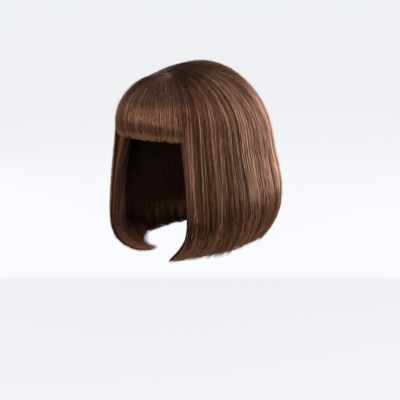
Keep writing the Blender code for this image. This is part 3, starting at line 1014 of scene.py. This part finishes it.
def hair_material(name):
    """Glossy fibre, toned by strand and by place along it, with painted shade inside the wig, on lower
    sheets and at the roots, and painted light at the tips.
    """
    material, tree, shader = new_material(name, HAIR_INPUTS)
    tone = attribute(tree, "tone")
    lane, along = attribute(tree, "lane"), attribute(tree, "along")
    place = joined(tree, times(lane, STREAKS[0]), times(along, STREAKS[1]))
    streak = minus(noise(tree, place, detail=STREAK_DETAIL), 0.5)
    shade = scaled(streak, STREAK_TONE, plus(tone, TONE_SHIFT))
    body = ramp(tree, shade, BODY_STOPS)
    # Painted shade: darker near the roots, over the crown and, on the fringe, above its band of light; the
    # palest strands darken less.
    near_root = maths("DIVIDE", attribute(tree, "from_root"), ROOT_LENGTH)
    at_root = ramp(tree, near_root, ROOT_STOPS)
    at_root = times(at_root, ramp(tree, tone, PLAIN_STOPS))
    # Painted light: the lighter strands turn lighter and redder towards their ends, as light through thin
    # tips.
    at_tip = maths("SUBTRACT", 1.0, attribute(tree, "from_tip"), clamp=True)
    at_tip = times(at_tip, ramp(tree, tone, TIP_STOPS))
    body = blended(tree, at_root, body, ROOT_SHADE, "MULTIPLY")
    body = blended(tree, at_tip, body, HAIR_TIP)
    # Painted shade: the inside and the lower sheets blend towards the near-black brown.
    body = blended(tree, attribute(tree, "dark"), body, PAINTED_INSIDE_SHADE)
    tree.links.new(body, shader.inputs["Base Color"])
    tangent = computed(tree, "ShaderNodeTangent", direction_type="UV_MAP", uv_map="fibre")
    tree.links.new(tangent, shader.inputs["Tangent"])
    return material


fibre = hair_material("hair_fibre")
print("materials:", fibre.name)

# %% [markdown]
# ## Combing the hair
#
# Each piece of hair is the strand tree run over one guide, or over half of it at the back, where
# two pieces meet. The result is turned into a plain mesh,
# which is what an exporter or a game engine can read, and the modifier and the guide are removed.

# %% Combing
combed = []


def comb(name, guide, strand_count, points, seed, **inputs):
    """Run the strand tree over a guide and keep the result as a plain mesh."""
    thing = add_object(name, bpy.data.meshes.new(name))
    modifier = thing.modifiers.new("comb", "NODES")
    modifier.node_group = strands
    identifiers = {item.name: item.identifier for item in strands.interface.items_tree
                   if item.item_type == "SOCKET" and item.in_out == "INPUT"}
    values = {"Guide": guide_objects[guide], "Breadth": guides[guide]["breadth"],
              "Length": guides[guide]["length"], "Strands": strand_count, "Points": points,
              "Seed": seed, "Material": fibre}
    values.update((key.capitalize().replace("_", " "), value) for key, value in inputs.items())
    for key, value in values.items():
        modifier[identifiers[key]] = value
    graph = bpy.context.evaluated_depsgraph_get()
    mesh = bpy.data.meshes.new_from_object(thing.evaluated_get(graph))
    thing.modifiers.clear()
    thing.data = mesh
    mesh.name = name
    combed.append((thing, guide))
    print(f"{name}: {sum(len(polygon.vertices) - 2 for polygon in mesh.polygons)} triangles")


guide_objects = {name: guide_object(guide) for name, guide in guides.items()}
LEFT_LIT_EDGE = 0.013
RIGHT_LIT_EDGE = 0.018
BACK_WIDTH = 0.00054
# Some inputs below paint shade and light into the tone: a low band, the left side's front edge and the right
# curtain's inner edge.
comb("fringe_strands", "fringe", 4700, 10, 11, ragged=0.014, root_spread=0.5, root_gap=0.05,
     overhang=0.003, wisp=0.0022, wisp_lift=0.0003, tuft_pull=0.2, splay=0.005, bright_share=0.02,
     sheet_power=0.8, sheet_rise=0.0005, low_shade=0.50, contrast=0.9, root_reach=1.7, tip_length=0.014,
     low_tone=-0.08, low_middle=0.94, low_half=0.17)
comb("left_side_strands", "left_side", 3500, 14, 12, edge_share=0.12, lit_edge=LEFT_LIT_EDGE,
     low_tone=-0.34, front_tone=-0.48, edge_overhang=0.012, ragged=0.013, bright_share=0.10)
comb("right_side_strands", "right_side", 2700, 14, 13, edge_share=0.16, lit_edge=RIGHT_LIT_EDGE,
     lit_taper=1.0, inside_share=0.30, edge_tone=0.7, edge_overhang=0.024, ragged=0.018, splay=0.034,
     bright_share=0.20, deep_contrast=2.6)
comb("back_left_strands", "back", 3600, 14, 14, last_u=0.5, width=BACK_WIDTH, ragged=0.005, low_tone=0.10)
comb("back_right_strands", "back", 3300, 14, 15, first_u=0.5, width=BACK_WIDTH, ragged=0.005, low_tone=0.10)

# %% [markdown]
# ## Loose hairs
#
# A few long hairs stand off the surface as flyaways, and short ones fray the hem of the sides and
# the back. The same tree combs both, with no clumping and with more stray and lift.

# %% Loose hairs
LOOSE = {"width": 0.00030, "contrast": 0.5, "wisp_pull": 0.0, "tuft_pull": 0.0, "inside_share": 0.0,
         "through_share": 0.0, "bright_share": 0.0}
FLYAWAY = {**LOOSE, "stray": 0.016, "lift": 0.0035, "sheet_rise": 0.0015, "ragged": 0.04, "overhang": 0.006}
HEM = {**LOOSE, "width": 0.00036, "contrast": 1.0, "stray": 0.018, "splay": 0.044, "lift": 0.0030,
       "sheet_rise": 0.0010, "ragged": 0.016, "overhang": 0.011, "root_gap": 0.80, "root_spread": 0.95}
# For each guide: flyaways, hairs at the hem, and the share of those that are bright.
LOOSE_HAIRS = {"fringe": (24, 0, 0.0), "left_side": (140, 700, 0.12), "right_side": (80, 360, 0.12),
               "back": (220, 1100, 0.03)}
FLYAWAY_SEED = 21
HEM_SEED = 31
for number, (name, (flyaways, hem_hairs, hem_bright)) in enumerate(LOOSE_HAIRS.items()):
    comb(name + "_flyaways", name, flyaways, 14, FLYAWAY_SEED + number, **FLYAWAY)
    if hem_hairs:
        comb(name + "_hem", name, hem_hairs, 5, HEM_SEED + number, **{**HEM, "bright_share": hem_bright})

# %% [markdown]
# ## Hair below the surface
#
# Strands alone would let light through, as a thin doll's wig does. Real hair is many layers deep, so
# a closed body lies just under the combed strands. It stops before the tips, where real hair thins
# out and only single strands are left. It carries the attributes that the material reads, so it
# has the same streaks as the strands, and it is painted darker than they are, as painted shade.

# %% Under-layers
SET_IN = 0.28
BODY_SHARE = 0.55
BODY_END = 0.97
CLOSING_SHARE = 0.12
LEAST_SHARE = 0.03
BODY_TONE = 0.3
BODY_PAINTED_SHADE = [0.6, 0.95]


def under_layer(name, guide):
    """A closed body of hair between the outside and the inside of a guide, thin at its end."""
    last = int(np.searchsorted(guide["along"], BODY_END))
    rows = [*range(1, last, 2), last]
    along = guide["along"][rows]
    outer, inner = guide["outer"][::3][:, rows], guide["inner"][::3][:, rows]
    closing = np.clip((along[-1] - along) / CLOSING_SHARE, LEAST_SHARE, 1.0)
    share = (closing ** 0.5 * BODY_SHARE)[:, None]
    upper = outer + (inner - outer) * SET_IN
    lower = upper + (inner - outer) * share
    columns, count = len(upper), len(upper) * len(rows)
    faces = grid_faces(columns, len(rows)).tolist()
    faces += grid_faces(columns, len(rows), count, True).tolist()
    index = np.arange(count).reshape(columns, len(rows))
    rim = [*index[:, 0], *index[-1, 1:], *index[-2::-1, -1], *index[0, -2:0:-1]]
    for first, second in zip(rim, rim[1:] + rim[:1]):
        faces.append([int(first + count), int(second + count), int(second), int(first)])
    mesh = bpy.data.meshes.new(name)
    mesh.from_pydata(np.vstack([upper.reshape(-1, 3), lower.reshape(-1, 3)]), [], faces)
    u, v = np.meshgrid(np.linspace(0, 1, columns), along, indexing="ij")
    u, v = np.tile(u.ravel(), 2), np.tile(v.ravel(), 2)
    write_comb(mesh, u, v, "fibre")
    lane = u * guide["breadth"]
    lit_edge = {"left_side": LEFT_LIT_EDGE, "right_side": RIGHT_LIT_EDGE}.get(guide["name"], -1.0)
    taper = TAPER_GAIN * v ** 2 + TAPER_START if guide["name"] == "right_side" else 1
    inward = lane - lit_edge * (taper + TIP_WIDENING * v ** WIDENING_POWER)
    # Painted shade: the under-layer darkens away from the lit front edges, and more on its lower face.
    dark = np.repeat(BODY_PAINTED_SHADE, count) * np.clip(inward / EDGE_FADE, 0, 1)
    values = {"lane": lane, "along": v, "from_root": v * guide["length"],
              "from_tip": np.ones_like(v), "tone": np.full_like(v, BODY_TONE), "dark": dark}
    for attribute_name, numbers in values.items():
        layer = mesh.attributes.new(attribute_name, "FLOAT", "POINT")
        layer.data.foreach_set("value", numbers)
    mesh.shade_smooth()
    mesh.materials.append(fibre)
    print(f"{name}: {len(mesh.polygons)} faces")
    return add_object(name, mesh)


for name, guide in guides.items():
    combed.append((under_layer(name + "_underlayer", guide), name))
for guide in guide_objects.values():
    bpy.data.objects.remove(guide)

# %% [markdown]
# ## Cap and patch
#
# The cap is a stretch net in the hair's own dark brown, so that it doesn't show between the
# strands. The oval at the whorl is a finer lace, a little lighter, and hair is knotted through it.
# Both keep their solid's shape, so they only need a finish. Small holes are too many to cut, so a
# pattern of cells sinks them into the surface.

# %% Net and lace
THREAD = [(0.06, WHITE), (0.22, BLACK)]
CELL_RANDOM = 0.25
THREAD_BUMP = 0.6
NET_ROUGHNESS = 0.75
WEAR_SCALE = 60.0
WORN_SHADE = 0.7
HOLE_SHADE = 0.35
NET_CELL = 0.0022
NET_SUNK = 0.0006
LACE_CELL = 0.0009
LACE_SUNK = 0.0002


def darker(colour, share):
    """A share of a colour."""
    return tuple(value * share for value in colour[:3]) + (1.0,)


def net_material(name, colour, cell, sunk):
    """A knitted net: dark cells in a regular pattern that follows the real size of the mesh."""
    material, tree, shader = new_material(name, {"Roughness": NET_ROUGHNESS})
    place = add_node(tree, "ShaderNodeTexCoord").outputs["Object"]
    pattern = {"Vector": place, "Scale": 1 / cell, "Randomness": CELL_RANDOM}
    cells = add_node(tree, "ShaderNodeTexVoronoi", pattern,
                     feature="DISTANCE_TO_EDGE").outputs["Distance"]
    thread = ramp(tree, cells, THREAD)
    worn = blended(tree, noise(tree, place, WEAR_SCALE, 2.0), colour, darker(colour, WORN_SHADE))
    # Painted shade: the holes between the threads are darker.
    surface = blended(tree, thread, darker(colour, HOLE_SHADE), worn)
    tree.links.new(surface, shader.inputs["Base Color"])
    bump = computed(tree, "ShaderNodeBump", {"Height": thread, "Strength": THREAD_BUMP, "Distance": sunk})
    tree.links.new(bump, shader.inputs["Normal"])
    return material


def finish_solid(node, material):
    """Give a solid its finish."""
    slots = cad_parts[node].data.materials
    slots.clear()
    slots.append(material)


finish_solid("cap", net_material("cap_net", NET_BROWN, NET_CELL, NET_SUNK))
finish_solid("parting_patch", net_material("parting_lace", LACE_BROWN, LACE_CELL, LACE_SUNK))

# %% [markdown]
# ## Light and floor
#
# The studio is bright and even. Six soft boxes light it, and two of them do the most. One is in
# front, a little above the hair, and draws the band of light along the fringe. The largest stands
# behind and lights the back. The others lift the sides, the crown and the underside. The floor
# goes far back, and a step in its glow stands for the far edge of a table.

# %% Studio
FLOOR_HEIGHT = -0.447
FLOOR_HALF = 40.0
FLOOR_GLOW = 0.91
FLOOR_BOUNCE = 0.30
TABLE_GLOW = 0.80
TABLE_NEAR_GLOW = 0.07
TABLE_EDGE = 0.60
EDGE_SOFTNESS = 0.04
AMBIENT = 0.43
BOX_DISTANCE = 2.0
BOX_AIM = Vector((0, 0, -0.12))
# Columns: azimuth and elevation in degrees; width and height in metres; power in watts.
SOFT_BOXES = {
    "front_box": (4, 15, 1.2, 1.5, 25),
    "near_box": (90, 40, 1.2, 1.2, 8),
    "far_box": (-100, 10, 1.2, 1.2, 22),
    "low_box": (30, -3, 1.2, 0.3, 5),
    "back_box": (165, 9, 2.2, 1.2, 54),
    "high_box": (165, 45, 1.2, 1.2, 8),
}
PALE = linear(243, 245, 248)
FLOOR_INPUTS = {"Base Color": (0.04, 0.04, 0.042, 1.0), "Roughness": 0.9, "Emission Color": PALE}


def add_floor():
    """A plain pale floor that sends up less light than it shows."""
    material, tree, shader = new_material("pale_floor", FLOOR_INPUTS)
    place = add_node(tree, "ShaderNodeTexCoord").outputs["Object"]
    away = (-math.sin(CAMERA_AZIMUTH), math.cos(CAMERA_AZIMUTH), 0.0)
    behind = add_node(tree, "ShaderNodeVectorMath", {0: place, 1: away},
                      operation="DOT_PRODUCT").outputs["Value"]
    past_edge = scaled(behind, 1 / EDGE_SOFTNESS, -TABLE_EDGE / EDGE_SOFTNESS, clamp=True)
    # Painted shadow: the table's glow is darker just before its far edge and brightens towards the front.
    before_edge = maths("SUBTRACT", TABLE_EDGE, behind, clamp=True)
    table = scaled(before_edge, TABLE_NEAR_GLOW, TABLE_GLOW)
    seen = add_node(tree, "ShaderNodeLightPath").outputs["Is Camera Ray"]
    glow = mixed(seen, FLOOR_BOUNCE, mixed(past_edge, table, FLOOR_GLOW))
    tree.links.new(glow, shader.inputs["Emission Strength"])
    mesh = bpy.data.meshes.new("floor")
    corners = [(-1, -1), (1, -1), (1, 1), (-1, 1)]
    points = [(x * FLOOR_HALF, y * FLOOR_HALF, FLOOR_HEIGHT) for x, y in corners]
    mesh.from_pydata(points, [], [(0, 1, 2, 3)])
    mesh.materials.append(material)
    add_object("floor", mesh)


def add_soft_box(name, azimuth, elevation, width, height, power):
    """A rectangular light that faces the hair; azimuth 0 is in front and 90 at the wearer's left."""
    level = math.cos(math.radians(elevation))
    way = Vector((math.sin(math.radians(azimuth)) * level, -math.cos(math.radians(azimuth)) * level,
                  math.sin(math.radians(elevation))))
    data = bpy.data.lights.new(name, "AREA")
    data.shape = "RECTANGLE"
    data.size = width
    data.size_y = height
    data.energy = power
    light = bpy.data.objects.new(name, data)
    bpy.context.scene.collection.objects.link(light)
    light.location = BOX_AIM + way * BOX_DISTANCE
    light.rotation_euler = way.to_track_quat("Z", "Y").to_euler()


def add_world(strength):
    """A pale backdrop; the light that it gives is softer than it looks."""
    world = bpy.data.worlds.new("studio")
    world.use_nodes = True
    tree = world.node_tree
    backdrop = tree.nodes["Background"]
    backdrop.inputs["Color"].default_value = PALE
    ambient = computed(tree, "ShaderNodeBackground", {"Color": PALE, "Strength": strength})
    seen = add_node(tree, "ShaderNodeLightPath").outputs["Is Camera Ray"]
    light = computed(tree, "ShaderNodeMixShader", {0: seen, 1: ambient, 2: backdrop.outputs[0]})
    tree.links.new(light, tree.nodes["World Output"].inputs["Surface"])
    bpy.context.scene.world = world


add_floor()
add_world(AMBIENT)
for name, settings in SOFT_BOXES.items():
    add_soft_box(name, *settings)
bpy.context.scene.view_settings.view_transform = "Standard"

# %% [markdown]
# ## Riding on the solids
#
# Each piece moves with the root body, and the solid that it stands for is hidden.

# %% Finish
for piece, solid in combed:
    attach(piece, "root")
    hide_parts(solid)
